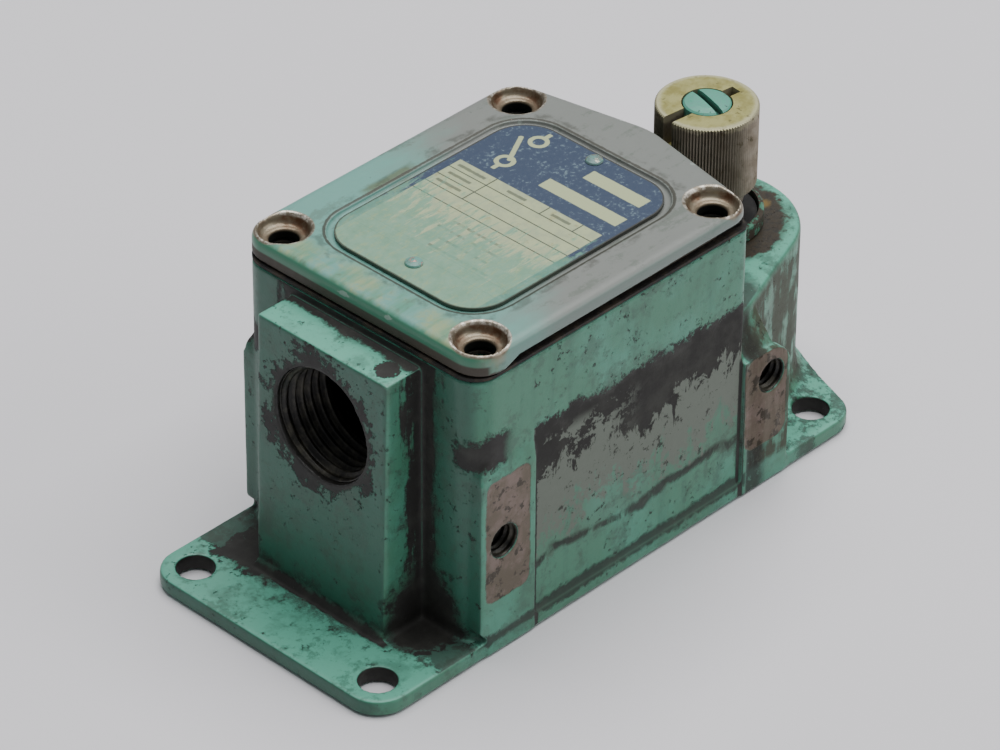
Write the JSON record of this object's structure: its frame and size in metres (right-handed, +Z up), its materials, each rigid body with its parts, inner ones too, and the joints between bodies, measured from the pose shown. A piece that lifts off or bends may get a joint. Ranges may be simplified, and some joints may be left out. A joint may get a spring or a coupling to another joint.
{
  "type": "rotary limit switch",
  "caption": "Heavy-duty rotary limit switch: cast box with conduit entry, flat cover, side mounting pads and a spring-return knurled shaft hub for a lever.",
  "frame": {"origin": "centre of the four mounting-hole pattern, on the flat underside of the plate", "axes": "+X from the conduit end to the shaft end, +Y across to the left side, +Z up out of the mounting plate along the shaft"},
  "size_m": [0.1294, 0.0572, 0.0627],
  "materials": {
    "housing_enamel": "sea-green machine enamel, chipped and grimy, bare grey where rubbed",
    "cover_enamel": "sea-green enamel worn to grey primer at the rear and right",
    "gasket_rubber": "flat dark sheet gasket",
    "nameplate_metal": "printed plate, blue band and pale ruled rows, partly overpainted",
    "rivet_steel": "drive rivets, one overpainted",
    "hub_plating": "yellow-chromated steel, dull and dirty in the knurl",
    "screw_enamel": "slotted screw painted over with the enamel",
    "shaft_steel": "ground steel",
    "collar_enamel": "pressed-in flanged bush, painted over with the casting",
    "seal_rubber": "black lip seal",
    "bushing_bronze": "oiled bronze",
    "spring_steel": "oiled spring steel",
    "linkage_steel": "zinc-plated steel",
    "pin_steel": "hardened bright steel",
    "phenolic": "dark brown-black phenolic moulding",
    "arm_phenolic": "red-brown phenolic moulding",
    "contact_brass": "stamped brass",
    "terminal_screw_brass": "nickel-plated brass, slotted",
    "block_screw_steel": "zinc-plated steel, slotted",
    "contact_silver": "silver contact rivet"
  },
  "bodies": {
    "housing": {"housing": "housing_enamel", "cover_gasket": "gasket_rubber", "shaft_bushing": "collar_enamel", "shaft_seal": "seal_rubber", "lower_bushing": "bushing_bronze", "rocker_pivot_pin": "pin_steel", "rocker_clip": "spring_steel", "contact_block": "phenolic", "fixed_contact_left": "contact_brass", "fixed_contact_right": "contact_brass", "common_contact": "contact_brass", "terminal_clamp_left": "contact_brass", "terminal_screw_left": "terminal_screw_brass", "terminal_clamp_right": "contact_brass", "terminal_screw_right": "terminal_screw_brass", "terminal_clamp_common": "contact_brass", "terminal_screw_common": "terminal_screw_brass", "block_screw_left": "block_screw_steel", "block_screw_right": "block_screw_steel", "contact_pivot_pin": "pin_steel", "contact_arm_clip": "spring_steel"},
    "cover": {"cover": "cover_enamel", "nameplate": "nameplate_metal", "nameplate_rivet_front": "rivet_steel", "nameplate_rivet_rear": "rivet_steel"},
    "shaft": {"rotary_shaft": "shaft_steel", "knurled_hub": "hub_plating", "hub_screw": "screw_enamel", "crank": "linkage_steel", "crank_roll_pin": "pin_steel", "drive_pin": "pin_steel", "return_spring": "spring_steel", "retaining_ring": "spring_steel"},
    "rocker": {"rocker": "linkage_steel", "rocker_tail_pin": "pin_steel"},
    "contact_arm": {"contact_arm": "arm_phenolic", "moving_contact": "contact_silver"}
  },
  "joints": [
    {"name": "shaft_turn", "type": "hinge", "parent": "housing", "child": "shaft", "pos_m": [0.0493, 0, 0], "axis": [0, 0, 1], "range_deg": [-35, 35], "stiffness_Nm_per_rad": 0.3},
    {"name": "rocker_turn", "type": "hinge", "parent": "housing", "child": "rocker", "pos_m": [0.0253, 0, 0], "axis": [0, 0, 1], "range_deg": [-15.6, 15.6]},
    {"name": "contact_turn", "type": "hinge", "parent": "housing", "child": "contact_arm", "pos_m": [-0.005, 0, 0], "axis": [0, 0, 1], "range_deg": [-9.6, 9.6]},
    {"name": "cover_lift", "type": "slide", "parent": "housing", "child": "cover", "axis": [0, 0, 1], "range_m": [0, 0.045]}
  ],
  "couplings": [
    {"joint": "rocker_turn", "follows": "shaft_turn", "ratio": -0.44},
    {"joint": "contact_turn", "follows": "shaft_turn", "ratio": 0.27}
  ]
}
